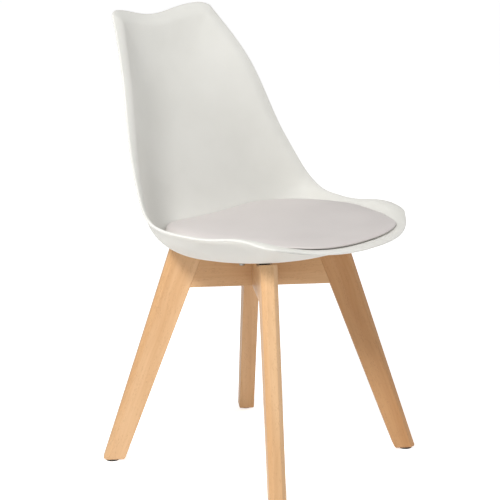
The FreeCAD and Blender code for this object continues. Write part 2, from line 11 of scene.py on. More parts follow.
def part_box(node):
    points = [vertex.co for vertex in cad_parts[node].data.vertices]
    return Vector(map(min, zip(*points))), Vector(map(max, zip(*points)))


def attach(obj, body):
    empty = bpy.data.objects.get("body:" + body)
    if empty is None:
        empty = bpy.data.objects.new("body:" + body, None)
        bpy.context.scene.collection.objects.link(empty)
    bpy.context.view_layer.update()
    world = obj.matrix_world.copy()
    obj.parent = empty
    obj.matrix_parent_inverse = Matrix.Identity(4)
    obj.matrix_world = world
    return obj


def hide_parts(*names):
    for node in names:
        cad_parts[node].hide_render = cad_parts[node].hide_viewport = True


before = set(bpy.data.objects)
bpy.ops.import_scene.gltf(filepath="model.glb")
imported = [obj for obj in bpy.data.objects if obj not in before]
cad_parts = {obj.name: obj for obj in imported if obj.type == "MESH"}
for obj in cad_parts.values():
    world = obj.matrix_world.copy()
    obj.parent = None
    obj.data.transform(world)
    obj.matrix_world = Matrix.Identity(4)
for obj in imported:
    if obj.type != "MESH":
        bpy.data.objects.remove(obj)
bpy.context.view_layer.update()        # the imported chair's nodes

scene = bpy.context.scene
scene.view_settings.view_transform = "Standard"
print("frame loaded:", len(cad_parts), "nodes")


# the camera, and the studio round the chair
cameraPlace = {
    "azimuth": -51.114,      # degrees round from the front, positive towards +X
    "elevation": 13.016,
    "roll": -0.2645,
    "distance": 3.0737,      # metres from the aim point
    "aimHeight": 0.4049,
    "lens": 120.18,          # mm on a 36 mm wide sensor
    "shiftX": -0.0186,
    "shiftY": -0.0101,
    "nearClip": 0.1,
    "farClip": 60,
}


def makeCamera(place):
    azimuth, elevation, roll = (math.radians(place[word]) for word in ("azimuth", "elevation", "roll"))
    back = Vector((math.sin(azimuth) * math.cos(elevation),
                   -math.cos(azimuth) * math.cos(elevation),
                   math.sin(elevation)))
    right = Vector((0, 0, 1)).cross(back).normalized()
    up = back.cross(right)
    tiltedRight = right * math.cos(roll) + up * math.sin(roll)
    tiltedUp = up * math.cos(roll) - right * math.sin(roll)
    data = bpy.data.cameras.new("camera")
    data.lens = place["lens"]
    data.shift_x = place["shiftX"]
    data.shift_y = place["shiftY"]
    data.clip_start = place["nearClip"]
    data.clip_end = place["farClip"]
    camera = bpy.data.objects.new("camera", data)
    turn = Matrix((tiltedRight, tiltedUp, back)).transposed().to_4x4()
    stand = Vector((0, 0, place["aimHeight"])) + back * place["distance"]
    camera.matrix_world = Matrix.Translation(stand) @ turn
    scene.collection.objects.link(camera)
    scene.camera = camera


studio = {
    "keyPlace": (-1.9, -0.3, 2.0),
    "keySize": 0.42,
    "keyPower": 50,
    "fillPlace": (2.6, -1.0, 1.6),
    "fillSize": 2.6,
    "fillPower": 26,
    "lightAim": 0.45,            # height above the floor that both lamps face
    "skyLight": 0.38,
    "backdrop": 1.0,             # how white the sky looks past the floor
    "floorSize": 60,
    "floorColour": (0.93, 0.93, 0.93),
    "floorRoughness": 0.75,
    "floorShown": 0.66,          # the floor's glow as the camera sees it
    "floorGlow": 0.22,           # the floor's glow as it reaches the chair
}


def makeLight(name, place, size, power):
    data = bpy.data.lights.new(name, "AREA")
    data.size = size
    data.energy = power
    lamp = bpy.data.objects.new(name, data)
    lamp.location = place
    away = Vector(place) - Vector((0, 0, studio["lightAim"]))
    lamp.rotation_euler = away.to_track_quat("Z", "Y").to_euler()
    scene.collection.objects.link(lamp)


def makeSky(look):
    world = bpy.data.worlds.new("studioSky")
    world.use_nodes = True
    scene.world = world
    tree = world.node_tree
    tree.nodes.clear()
    light = tree.nodes.new("ShaderNodeBackground")
    light.inputs["Strength"].default_value = look["skyLight"]
    light.inputs["Color"].default_value = (1, 1, 1, 1)
    seen = tree.nodes.new("ShaderNodeBackground")
    seen.inputs["Strength"].default_value = look["backdrop"]
    seen.inputs["Color"].default_value = (1, 1, 1, 1)
    path = tree.nodes.new("ShaderNodeLightPath")
    mix = tree.nodes.new("ShaderNodeMixShader")
    out = tree.nodes.new("ShaderNodeOutputWorld")
    tree.links.new(path.outputs["Is Camera Ray"], mix.inputs["Fac"])
    tree.links.new(light.outputs[0], mix.inputs[1])
    tree.links.new(seen.outputs[0], mix.inputs[2])
    tree.links.new(mix.outputs[0], out.inputs["Surface"])


def makeFloor(look):
    half = look["floorSize"] / 2
    mesh = bpy.data.meshes.new("floor")
    corners = [(-half, -half, 0), (half, -half, 0), (half, half, 0), (-half, half, 0)]
    mesh.from_pydata(corners, [], [(0, 1, 2, 3)])
    floor = bpy.data.objects.new("floor", mesh)
    material = bpy.data.materials.new("paleFloor")
    material.use_nodes = True
    shader = material.node_tree.nodes["Principled BSDF"]
    shader.inputs["Base Color"].default_value = (*look["floorColour"], 1)
    shader.inputs["Roughness"].default_value = look["floorRoughness"]
    shader.inputs["Emission Color"].default_value = (1, 1, 1, 1)
    path = material.node_tree.nodes.new("ShaderNodeLightPath")
    glow = material.node_tree.nodes.new("ShaderNodeMapRange")
    glow.inputs["To Min"].default_value = look["floorGlow"]
    glow.inputs["To Max"].default_value = look["floorShown"]
    material.node_tree.links.new(path.outputs["Is Camera Ray"], glow.inputs["Value"])
    material.node_tree.links.new(glow.outputs["Result"], shader.inputs["Emission Strength"])
    mesh.materials.append(material)
    scene.collection.objects.link(floor)


makeCamera(cameraPlace)
makeSky(studio)
makeFloor(studio)
makeLight("keyLight", studio["keyPlace"], studio["keySize"], studio["keyPower"])
makeLight("fillLight", studio["fillPlace"], studio["fillSize"], studio["fillPower"])
print("camera and stage done")


# a material under construction: its tree, its shader and short ways to add nodes
class Finish:
    def __init__(self, name, values):
        self.material = bpy.data.materials.new(name)
        self.material.use_nodes = True
        self.tree = self.material.node_tree
        self.shader = self.tree.nodes["Principled BSDF"]
        for socket, value in values.items():
            self.shader.inputs[socket].default_value = value

    def node(self, kind, **settings):
        made = self.tree.nodes.new(kind)
        for word, value in settings.items():
            setattr(made, word, value)
        return made

    def link(self, output, target):
        self.tree.links.new(output, target)

    def place(self):
        return self.node("ShaderNodeTexCoord").outputs["Object"]

    def attribute(self, name):
        made = self.node("ShaderNodeAttribute")
        made.attribute_name = name
        return made.outputs["Vector"]

    def effect(self, group, place, values):
        made = self.node("ShaderNodeGroup")
        made.node_tree = group
        self.link(place, made.inputs["Place"])
        for word, value in values.items():
            made.inputs[word].default_value = value
        return made.outputs

    # base colour between two colours by a factor
    def paint(self, factor, low, high):
        mix = self.node("ShaderNodeMix", data_type="RGBA")
        mix.inputs["A"].default_value = (*low, 1)
        mix.inputs["B"].default_value = (*high, 1)
        self.link(factor, mix.inputs["Factor"])
        return mix.outputs["Result"]

    # roughness between two values by a factor
    def gloss(self, factor, low, high):
        made = self.node("ShaderNodeMapRange")
        made.inputs["To Min"].default_value = low
        made.inputs["To Max"].default_value = high
        self.link(factor, made.inputs["Value"])
        self.link(made.outputs["Result"], self.shader.inputs["Roughness"])

    def bump(self, height, distance, strength):
        made = self.node("ShaderNodeBump")
        made.inputs["Distance"].default_value = distance
        made.inputs["Strength"].default_value = strength
        self.link(height, made.inputs["Height"])
        self.link(made.outputs["Normal"], self.shader.inputs["Normal"])


# a shader node group under construction, with a Place input and named outputs
class Effect:
    def __init__(self, name, inputs, outputs):
        self.tree = bpy.data.node_groups.new(name, "ShaderNodeTree")
        self.tree.interface.new_socket("Place", in_out="INPUT", socket_type="NodeSocketVector")
        for word, value in inputs.items():
            socket = self.tree.interface.new_socket(word, in_out="INPUT", socket_type="NodeSocketFloat")
            socket.default_value = value
        for word in outputs:
            self.tree.interface.new_socket(word, in_out="OUTPUT", socket_type="NodeSocketFloat")
        self.source = self.tree.nodes.new("NodeGroupInput")
        self.result = self.tree.nodes.new("NodeGroupOutput")

    def given(self, word):
        return self.source.outputs[word]

    def put(self, word, value):
        self.tree.links.new(value, self.result.inputs[word])

    def math(self, operation, first, second=None, third=None, clamp=False):
        made = self.tree.nodes.new("ShaderNodeMath")
        made.operation = operation
        made.use_clamp = clamp
        for socket, value in zip(made.inputs, (first, second, third)):
            if value is None:
                continue
            if isinstance(value, (int, float)):
                socket.default_value = value
            else:
                self.tree.links.new(value, socket)
        return made.outputs[0]

    # place times a scale along each axis
    def stretched(self, scale, shift=(0, 0, 0)):
        made = self.tree.nodes.new("ShaderNodeMapping")
        made.inputs["Scale"].default_value = scale
        made.inputs["Location"].default_value = shift
        self.tree.links.new(self.given("Place"), made.inputs["Vector"])
        return made.outputs[0]

    def noise(self, place, detail=2.0, roughness=0.5):
        made = self.tree.nodes.new("ShaderNodeTexNoise")
        made.inputs["Scale"].default_value = 1.0
        made.inputs["Detail"].default_value = detail
        made.inputs["Roughness"].default_value = roughness
        self.tree.links.new(place, made.inputs["Vector"])
        return made.outputs["Fac"]

    def cells(self, place, scale=1.0):
        made = self.tree.nodes.new("ShaderNodeTexVoronoi")
        made.inputs["Scale"].default_value = scale
        self.tree.links.new(place, made.inputs["Vector"])
        return made.outputs["Distance"]

    # maps low..high to 0..1, smoothly
    def spread(self, value, low, high):
        made = self.tree.nodes.new("ShaderNodeMapRange")
        made.interpolation_type = "SMOOTHSTEP"
        made.inputs["From Min"].default_value = low
        made.inputs["From Max"].default_value = high
        self.tree.links.new(value, made.inputs["Value"])
        return made.outputs["Result"]


# grain of a beech board: scales run along, across and through it
beechGrain = {
    "drift": (2.2, 26, 26),          # slow changes of tone
    "driftDetail": 3,
    "driftRoughness": 0.55,
    "driftSpread": (0.3, 0.7),
    "sway": (5, 14, 14),             # how the growth lines wander
    "swayShift": (7, 3, 1),
    "swayShare": 0.05,
    "lineSlope": (0, 1, 0.6),        # growth lines cross the board at a slope
    "lineScale": 900,
    "lineSharpness": 3,
    "lineShare": -0.16,              # below zero, because the lines are darker
    "fibres": (14, 1500, 1500),
    "fibreShare": 0.36,
    "fibreRelief": 0.5,
    "dashes": (150, 1000, 1000),     # the short dark flecks
    "dashSpread": (0.16, 0.42),
    "dashPlaces": (40, 180, 180),
    "dashPlaceSpread": (0.44, 0.58),
}


# beech: long fibres, growth lines and short flecks
def makeGrainEffect():
    look = beechGrain
    effect = Effect("beechGrain", {"Figure": 1.0, "Flecks": 1.0}, ["Tone", "Fleck", "Relief"])
    drift = effect.noise(effect.stretched(look["drift"]), look["driftDetail"], look["driftRoughness"])
    sway = effect.noise(effect.stretched(look["sway"], look["swayShift"]), 1)
    split = effect.tree.nodes.new("ShaderNodeSeparateXYZ")
    effect.tree.links.new(effect.stretched(look["lineSlope"]), split.inputs[0])
    sheet = effect.math("ADD", split.outputs["Y"], split.outputs["Z"])
    bent = effect.math("ADD", sheet, effect.math("MULTIPLY", sway, look["swayShare"]))
    rings = effect.math("SINE", effect.math("MULTIPLY", bent, look["lineScale"]))
    line = effect.math("POWER", effect.math("MULTIPLY_ADD", rings, 0.5, 0.5), look["lineSharpness"])
    fibres = effect.noise(effect.stretched(look["fibres"]))
    figure = effect.math("MULTIPLY", effect.given("Figure"), look["lineShare"])
    lines = effect.math("MULTIPLY", line, figure)
    tone = effect.math("ADD", effect.spread(drift, *look["driftSpread"]), lines)
    streaks = effect.math("MULTIPLY_ADD", fibres, look["fibreShare"], -look["fibreShare"] / 2)
    tone = effect.math("ADD", tone, streaks, clamp=True)
    dashes = effect.cells(effect.stretched(look["dashes"]))
    thin = effect.math("SUBTRACT", 1, effect.spread(dashes, *look["dashSpread"]))
    sparse = effect.spread(effect.noise(effect.stretched(look["dashPlaces"]), 0), *look["dashPlaceSpread"])
    fleck = effect.math("MULTIPLY", effect.math("MULTIPLY", thin, sparse), effect.given("Flecks"), clamp=True)
    effect.put("Tone", tone)
    effect.put("Fleck", fleck)
    effect.put("Relief", effect.math("SUBTRACT", effect.math("MULTIPLY", fibres, look["fibreRelief"]), fleck))
    return effect.tree


# uneven tone and fine texture of moulded, pressed and turned parts
softMottle = {
    "slow": (9, 9, 9),
    "slowDetail": 3,
    "slowRoughness": 0.55,
    "slowSpread": (0.3, 0.7),
    "fine": (1500, 1500, 1500),
    "fineShare": 0.4,
    "pebbles": 1100,
    "scuffs": (40, 60, 25),
    "scuffDetail": 5,
    "scuffRoughness": 0.7,
    "scuffSpread": (0.55, 0.72),
}


# slow unevenness of tone, with a fine moulded or pressed texture
def makeMottleEffect():
    look = softMottle
    effect = Effect("softMottle", {"Grain Size": 1.0}, ["Tone", "Relief", "Scuff"])
    slow = effect.noise(effect.stretched(look["slow"]), look["slowDetail"], look["slowRoughness"])
    fine = effect.noise(effect.stretched(look["fine"]))
    scale = effect.tree.nodes.new("ShaderNodeVectorMath")
    scale.operation = "SCALE"
    effect.tree.links.new(effect.given("Place"), scale.inputs[0])
    effect.tree.links.new(effect.given("Grain Size"), scale.inputs["Scale"])
    pebble = effect.cells(scale.outputs[0], look["pebbles"])
    scuff = effect.noise(effect.stretched(look["scuffs"]), look["scuffDetail"], look["scuffRoughness"])
    effect.put("Tone", effect.spread(slow, *look["slowSpread"]))
    effect.put("Relief", effect.math("ADD", pebble, effect.math("MULTIPLY", fine, look["fineShare"])))
    effect.put("Scuff", effect.spread(scuff, *look["scuffSpread"]))
    return effect.tree


grainEffect = makeGrainEffect()
mottleEffect = makeMottleEffect()

# what each finish is made with; smoother and rougher are how far its roughness strays
shellLook = {
    "low": (0.670, 0.662, 0.618),
    "high": (0.700, 0.692, 0.648),
    "grainSize": 1.0,
    "roughness": 0.56,
    "smoother": 0.03,
    "rougher": 0.08,
    "specular": 0.3,
    "subsurface": 0.5,
    "bleed": 0.02,               # how far light travels in the plastic, in metres
    "relief": 0.00012,
    "reliefStrength": 0.35,
}
padLook = {
    "low": (0.635, 0.592, 0.572),
    "high": (0.668, 0.625, 0.605),
    "grainSize": 0.8,
    "roughness": 0.5,
    "smoother": 0.05,
    "rougher": 0.06,
    "specular": 0.35,
    "sheen": 0.12,
    "sheenRoughness": 0.4,
    "relief": 0.0003,
    "reliefStrength": 0.5,
}
beechLook = {
    "pale": (0.74, 0.475, 0.26),
    "deep": (0.62, 0.36, 0.17),
    "fleck": (0.40, 0.20, 0.08),
    "dark": (0.70, 0.56, 0.40),      # the tint of the darkest boards, and of the painted shade on the front-left leg
    "figure": 0.8,
    "flecks": 1.0,
    "fleckShare": 0.42,
    "roughness": 0.42,
    "smoother": 0.04,
    "rougher": 0.08,
    "specular": 0.4,
    "coat": 0.15,
    "coatRoughness": 0.3,
    "relief": 0.00018,
    "reliefStrength": 0.5,
}
smallPartLook = {
    "grainSize": 0.6,
    "smoother": 0.05,
    "rougher": 0.1,
    "reliefStrength": 0.4,
    "dowelWood": {"low": (0.62, 0.42, 0.24), "high": (0.72, 0.52, 0.32),
                  "roughness": 0.6, "metallic": 0.0, "relief": 0.0002},
    "blackPlastic": {"low": (0.012, 0.012, 0.012), "high": (0.022, 0.021, 0.020),
                     "roughness": 0.45, "metallic": 0.0, "relief": 0.0002},
    "zincSteel": {"low": (0.30, 0.30, 0.29), "high": (0.40, 0.40, 0.38),
                  "roughness": 0.36, "metallic": 1.0, "relief": 0.00005},
    "turnedBrass": {"low": (0.72, 0.52, 0.22), "high": (0.80, 0.60, 0.28),
                    "roughness": 0.3, "metallic": 1.0, "relief": 0.00005},
}


def shellPlastic():
    look = shellLook
    finish = Finish("shellPlastic", {
        "Specular IOR Level": look["specular"],
        "Subsurface Weight": look["subsurface"],
        "Subsurface Radius": (1, 1, 1),
        "Subsurface Scale": look["bleed"],
    })
    effect = finish.effect(mottleEffect, finish.place(), {"Grain Size": look["grainSize"]})
    finish.link(finish.paint(effect["Tone"], look["low"], look["high"]), finish.shader.inputs["Base Color"])
    finish.gloss(effect["Scuff"], look["roughness"] - look["smoother"], look["roughness"] + look["rougher"])
    finish.bump(effect["Relief"], look["relief"], look["reliefStrength"])
    return finish.material


def padLeather():
    look = padLook
    finish = Finish("padLeather", {
        "Specular IOR Level": look["specular"],
        "Sheen Weight": look["sheen"],
        "Sheen Roughness": look["sheenRoughness"],
    })
    effect = finish.effect(mottleEffect, finish.place(), {"Grain Size": look["grainSize"]})
    finish.link(finish.paint(effect["Tone"], look["low"], look["high"]), finish.shader.inputs["Base Color"])
    finish.gloss(effect["Tone"], look["roughness"] - look["smoother"], look["roughness"] + look["rougher"])
    finish.bump(effect["Relief"], look["relief"], look["reliefStrength"])
    return finish.material


def beechWood():
    look = beechLook
    finish = Finish("beechWood", {
        "Specular IOR Level": look["specular"],
        "Coat Weight": look["coat"],
        "Coat Roughness": look["coatRoughness"],
    })
    grainValues = {"Figure": look["figure"], "Flecks": look["flecks"]}
    effect = finish.effect(grainEffect, finish.attribute("grainPlace"), grainValues)
    body = finish.paint(effect["Tone"], look["deep"], look["pale"])
    marked = finish.node("ShaderNodeMix", data_type="RGBA")
    marked.inputs["B"].default_value = (*look["fleck"], 1)
    share = finish.node("ShaderNodeMath", operation="MULTIPLY")
    share.inputs[1].default_value = look["fleckShare"]
    finish.link(effect["Fleck"], share.inputs[0])
    finish.link(share.outputs[0], marked.inputs["Factor"])
    finish.link(body, marked.inputs["A"])
    shade = finish.node("ShaderNodeMix", data_type="RGBA", blend_type="MULTIPLY")
    shade.inputs["B"].default_value = (*look["dark"], 1)
    # how dark the piece is, board tone and painted shade together, darkens the base colour
    board = finish.node("ShaderNodeAttribute", attribute_name="boardToneAndShade")
    finish.link(board.outputs["Fac"], shade.inputs["Factor"])
    finish.link(marked.outputs["Result"], shade.inputs["A"])
    finish.link(shade.outputs["Result"], finish.shader.inputs["Base Color"])
    finish.gloss(effect["Tone"], look["roughness"] + look["rougher"], look["roughness"] - look["smoother"])
    finish.bump(effect["Relief"], look["relief"], look["reliefStrength"])
    return finish.material


def smallPartFinish(name):
    shared = smallPartLook
    look = shared[name]
    finish = Finish(name, {"Metallic": look["metallic"]})
    effect = finish.effect(mottleEffect, finish.place(), {"Grain Size": shared["grainSize"]})
    finish.link(finish.paint(effect["Tone"], look["low"], look["high"]), finish.shader.inputs["Base Color"])
    roughness = look["roughness"]
    finish.gloss(effect["Scuff"], roughness - shared["smoother"], roughness + shared["rougher"])
    finish.bump(effect["Relief"], look["relief"], shared["reliefStrength"])
    return finish.material


shellFinish = shellPlastic()
padFinish = padLeather()
beechFinish = beechWood()
dowelFinish = smallPartFinish("dowelWood")
blackFinish = smallPartFinish("blackPlastic")
zincFinish = smallPartFinish("zincSteel")
brassFinish = smallPartFinish("turnedBrass")
print("materials done")


# a finished piece with its place in its mesh, standing for CAD nodes
def makePiece(name, points, faces, material, slotName, *nodes):
    mesh = bpy.data.meshes.new(name)
    mesh.from_pydata([tuple(p) for p in points], [], faces)
    mesh.validate()
    piece = bpy.data.objects.new(name, mesh)
    scene.collection.objects.link(piece)
    dress(piece, material, slotName, *nodes)
    return piece


def dress(piece, material, slotName, *nodes):
    piece.data.materials.clear()
    piece.data.materials.append(material)
    piece.data.shade_smooth()
    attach(piece, "root")
    if nodes:
        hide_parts(*nodes)


def signedVolume(mesh):
    work = bmesh.new()
    work.from_mesh(mesh)
    volume = work.calc_volume(signed=True)
    work.free()
    return volume


# applies the piece's modifiers to its mesh
def settle(piece):
    shown = piece.evaluated_get(bpy.context.evaluated_depsgraph_get())
    mesh = bpy.data.meshes.new_from_object(shown)
    piece.modifiers.clear()
    old = piece.data
    piece.data = mesh
    bpy.data.meshes.remove(old)
    piece.data.name = piece.name


# keeps flat faces flat in shade where they meet rounded edges
def evenShading(piece):
    weighted = piece.modifiers.new("evenShading", "WEIGHTED_NORMAL")
    weighted.weight = 100
    settle(piece)


# closed outline with each corner turned into an arc
def roundedOutline(corners, radii, steps):
    points = []
    count = len(corners)
    for i, corner in enumerate(corners):
        before = (Vector(corners[i - 1]) - Vector(corner)).normalized()
        after = (Vector(corners[(i + 1) % count]) - Vector(corner)).normalized()
        half = before.angle(after) / 2
        radius = radii[i]
        centre = Vector(corner) + (before + after).normalized() * (radius / math.sin(half))
        start = Vector(corner) + before * (radius / math.tan(half)) - centre
        end = Vector(corner) + after * (radius / math.tan(half)) - centre
        sweep = start.angle(end)
        for k in range(steps + 1):
            share = k / steps
            spoke = (start * math.sin((1 - share) * sweep) + end * math.sin(share * sweep)) / math.sin(sweep)
            points.append(tuple(centre + spoke))
    return points


# faces between closed loops of equal length, with both ends capped
def bridged(loops):
    size = len(loops[0])
    faces = []
    for level in range(len(loops) - 1):
        low = level * size
        high = low + size
        for i in range(size):
            k = (i + 1) % size
            faces.append((low + i, low + k, high + k, high + i))
    faces.append(tuple(reversed(range(size))))
    faces.append(tuple(range((len(loops) - 1) * size, len(loops) * size)))
    return faces


# beech legs and rails, in metres
wood = {
    "footReach": 0.298,          # leg's outer edge at the floor, from the centre
    "footWidth": 0.040,
    "frameReach": 0.108,         # leg's inner edge at the top of the rails
    "legWidth": 0.062,
    "thickness": 0.030,
    "riseOuter": 0.018,          # leg's top above the rails
    "riseInner": 0.003,
    "bevel": 0.008,
    "bevelRound": 0.0035,
    "edgeRound": 0.0009,
    "footBevel": 0.0045,
    "railEdge": 0.0004,
    "arcSteps": 4,
    "topInset": 0.0015,          # how far the top's rounded edge draws in
    "topStep": 0.0004,
    "grainRise": 1.06,           # a leg's length over its height
    "boardShift": 0.01,          # keeps the boards' grain from repeating
    # how dark each piece is: partly the board's own tone, partly painted shade, strongest on the front-left
    # leg
    "tonesAndShade": {"rear_left": 0.35, "rear_right": 0.1, "front_right": 0.0, "front_left": 0.85, "rails": 0.25},
}
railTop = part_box("cross_rail_upper")[1].z
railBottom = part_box("cross_rail_upper")[0].z
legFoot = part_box("leg_front_left")[0].z
quarterTurns = {"rear_left": 45, "rear_right": 135, "front_right": 225, "front_left": 315}


def innerEdge(height):
    foot = wood["footReach"] - wood["footWidth"]
    return foot - height * (foot - wood["frameReach"]) / railTop


def outerEdge(height):
    return wood["footReach"] - height * (wood["footReach"] - wood["frameReach"] - wood["legWidth"]) / railTop


# stores each vertex's place along, across and through the board, and how dark the piece is: the board's own
# tone together with painted shade
def setGrain(piece, points, tone):
    shade = piece.data.attributes.new("boardToneAndShade", "FLOAT", "POINT")
    shade.data.foreach_set("value", [tone] * len(piece.data.vertices))
    attribute = piece.data.attributes.new("grainPlace", "FLOAT_VECTOR", "POINT")
    attribute.data.foreach_set("vector", np.asarray(points, np.float32).ravel())


def legSection(inner, outer, inset):
    half = wood["thickness"] / 2
    bevel = wood["bevel"]
    corners = [(inner, -half), (outer - bevel, -half), (outer, bevel - half),
               (outer, half - bevel), (outer - bevel, half), (inner, half)]
    small = wood["edgeRound"]
    large = wood["bevelRound"]
    outline = roundedOutline(corners, [small, large, large, large, large, small], wood["arcSteps"])
    middle = (inner + outer) / 2
    shrinkAlong = 1 - 2 * inset / (outer - inner)
    shrinkAcross = 1 - inset / half
    return [(middle + (r - middle) * shrinkAlong, t * shrinkAcross) for r, t in outline]


def makeLeg(corner, degrees):
    topOuter = railTop + wood["riseOuter"]
    topInner = railTop + wood["riseInner"]
    low = (innerEdge(legFoot), outerEdge(legFoot))
    high = (innerEdge(topInner), outerEdge(topOuter))
    tilt = (topOuter - topInner) / (high[1] - high[0])
    length = railTop - legFoot
    foot = wood["footBevel"]
    levels = [(0.0, foot)]
    for step in range(1, 4):
        turn = step * math.pi / 6
        levels.append((foot * (1 - math.cos(turn)) / length, foot * (1 - math.sin(turn))))
    levels += [(0.25, 0.0), (0.5, 0.0), (0.75, 0.0)]
    topInset = wood["topInset"]
    topStep = wood["topStep"]
    levels += [(1 - topInset / length, 0.0), (1 - topStep / length, topStep), (1.0, topInset)]
    places = []
    grain = []
    angle = math.radians(degrees)
    for share, inset in levels:
        inner = low[0] + (high[0] - low[0]) * share
        outer = low[1] + (high[1] - low[1]) * share
        for r, t in legSection(inner, outer, inset):
            top = topInner + (r - inner) * tilt
            z = legFoot + (top - legFoot) * share
            x = r * math.cos(angle) - t * math.sin(angle)
            y = r * math.sin(angle) + t * math.cos(angle)
            places.append((x, y, z))
            grain.append((z * wood["grainRise"] + degrees, r - (inner + outer) / 2,
                          t + degrees * wood["boardShift"]))
    size = len(places) // len(levels)
    loops = [places[i:i + size] for i in range(0, len(places), size)]
    node = "leg_" + corner
    piece = makePiece(node + "_wood", places, bridged(loops), beechFinish, "beech", node)
    setGrain(piece, grain, wood["tonesAndShade"][corner])
    evenShading(piece)


# beech rail with half its depth cut away where it crosses the other
def makeRail(name, degrees, notchFrom, notchTo):
    half = wood["thickness"] / 2
    bottom = innerEdge(railBottom)
    top = innerEdge(railTop)
    if notchFrom == railBottom:
        outline = [(-bottom, railBottom), (-half, railBottom), (-half, notchTo), (half, notchTo),
                   (half, railBottom), (bottom, railBottom), (top, railTop), (-top, railTop)]
    else:
        outline = [(-bottom, railBottom), (bottom, railBottom), (top, railTop), (half, railTop),
                   (half, notchFrom), (-half, notchFrom), (-half, railTop), (-top, railTop)]
    angle = math.radians(degrees)
    mesh = bmesh.new()
    side = mesh.faces.new([mesh.verts.new((r, -half, z)) for r, z in outline])
    grown = bmesh.ops.extrude_face_region(mesh, geom=[side])
    moved = [v for v in grown["geom"] if isinstance(v, bmesh.types.BMVert)]
    bmesh.ops.translate(mesh, verts=moved, vec=(0, 2 * half, 0))
    bmesh.ops.recalc_face_normals(mesh, faces=mesh.faces)
    bmesh.ops.bevel(mesh, geom=list(mesh.edges), offset=wood["railEdge"], segments=2,
                    affect="EDGES", profile=0.5)
    grain = [(v.co.x + degrees, v.co.z, v.co.y + degrees * wood["boardShift"]) for v in mesh.verts]
    bmesh.ops.rotate(mesh, verts=mesh.verts, cent=(0, 0, 0), matrix=Matrix.Rotation(angle, 3, "Z"))
    data = bpy.data.meshes.new(name + "_wood")
    mesh.to_mesh(data)
    mesh.free()
    piece = bpy.data.objects.new(name + "_wood", data)
    scene.collection.objects.link(piece)
    dress(piece, beechFinish, "beech", name)
    setGrain(piece, grain, wood["tonesAndShade"]["rails"])
    evenShading(piece)


for cornerName, quarter in quarterTurns.items():
    makeLeg(cornerName, quarter)
railMiddle = (railBottom + railTop) / 2
makeRail("cross_rail_upper", 45, railBottom, railMiddle)
makeRail("cross_rail_lower", 135, railMiddle, railTop)
print("legs and rails done")


# the moulded bucket, in metres and degrees
shell = {
    "front": 0.2572,             # front edge ahead of the centre
    "wall": 0.005,
    "lift": 0.002,               # lowest point above the boss faces
    "rampLength": 0.2555,
    "rampAngle": 20.1,
    "bendLength": 0.197,
    "backAngle": 69.2,
    "backLength": 0.3315,
    "backCurl": 3.0,
    "rimStations": [0.0, 0.07, 0.17, 0.31, 0.47, 0.64, 0.84, 1.0],
    "halfWidths": [0.2154, 0.2135, 0.2178, 0.2319, 0.2361, 0.2120, 0.1763, 0.1343],
    "rises": [0.0405, 0.0613, 0.0654, 0.0715, 0.0709, 0.0574, 0.0546, 0.0278],
    "sectionStations": [0.0, 0.2, 0.45, 0.65, 1.0],
    "sectionPowers": [2.4, 4.2, 5.0, 2.6, 2.4],
    "frontBow": 0.064,
    "frontBowPower": 2.6,
    "cornerCut": 0.0192,
    "cornerFade": 0.018,
    "hornHeight": 0.0108,
    "hornPlace": 0.73,
    "hornFall": 0.0102,
    "rimDrop": 0.004,            # rim below the body of the shell, as the frame has it
    "lipDrop": 0.0110,           # how far the rolled lip turns down
    "lipWidth": 0.0260,
    "lipPower": 1.5,
    "lipShoulder": 0.060,        # the body swells up to the lip over this distance
    "across": 60,                # mesh steps from the middle to a side
    "along": 100,                # mesh steps from the middle to an end
    "crowding": 1.6,             # how much closer the steps lie towards the rim
    "rimSteps": 6,
    "cornerCells": 18,           # cells from a corner over which normals are evened out
    "cornerBlur": 4,
    "seatHeight": 0.12,          # the part of the shell that can meet the pad
    "above": 0.56,               # where rays that look down for the shell start
    "runBefore": 0.06,           # the middle line runs on past both ends of the shell
    "runAfter": 0.08,
    "runStep": 0.001,
    "rimSplits": 4,              # places on each rim cell that distances are taken to
}
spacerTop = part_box("mount_spacers")[1].z
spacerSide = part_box("mount_spacers")[1].x


# natural cubic spline through the stations, as a function of an array
def smoothThrough(stations, values):
    x = np.array(stations)
    y = np.array(values)
    count = len(x)
    gap = np.diff(x)
    matrix = np.eye(count)
    right = np.zeros(count)
    for i in range(1, count - 1):
        matrix[i, i - 1:i + 2] = gap[i - 1], 2 * (gap[i - 1] + gap[i]), gap[i]
        right[i] = 6 * ((y[i + 1] - y[i]) / gap[i] - (y[i] - y[i - 1]) / gap[i - 1])
    bend = np.linalg.solve(matrix, right)

    def value(at):
        i = np.clip(np.searchsorted(x, at) - 1, 0, count - 2)
        low = (x[i + 1] - at) / gap[i]
        high = (at - x[i]) / gap[i]
        sag = (low ** 3 - low) * bend[i] + (high ** 3 - high) * bend[i + 1]
        return low * y[i] + high * y[i + 1] + sag * gap[i] ** 2 / 6

    return value


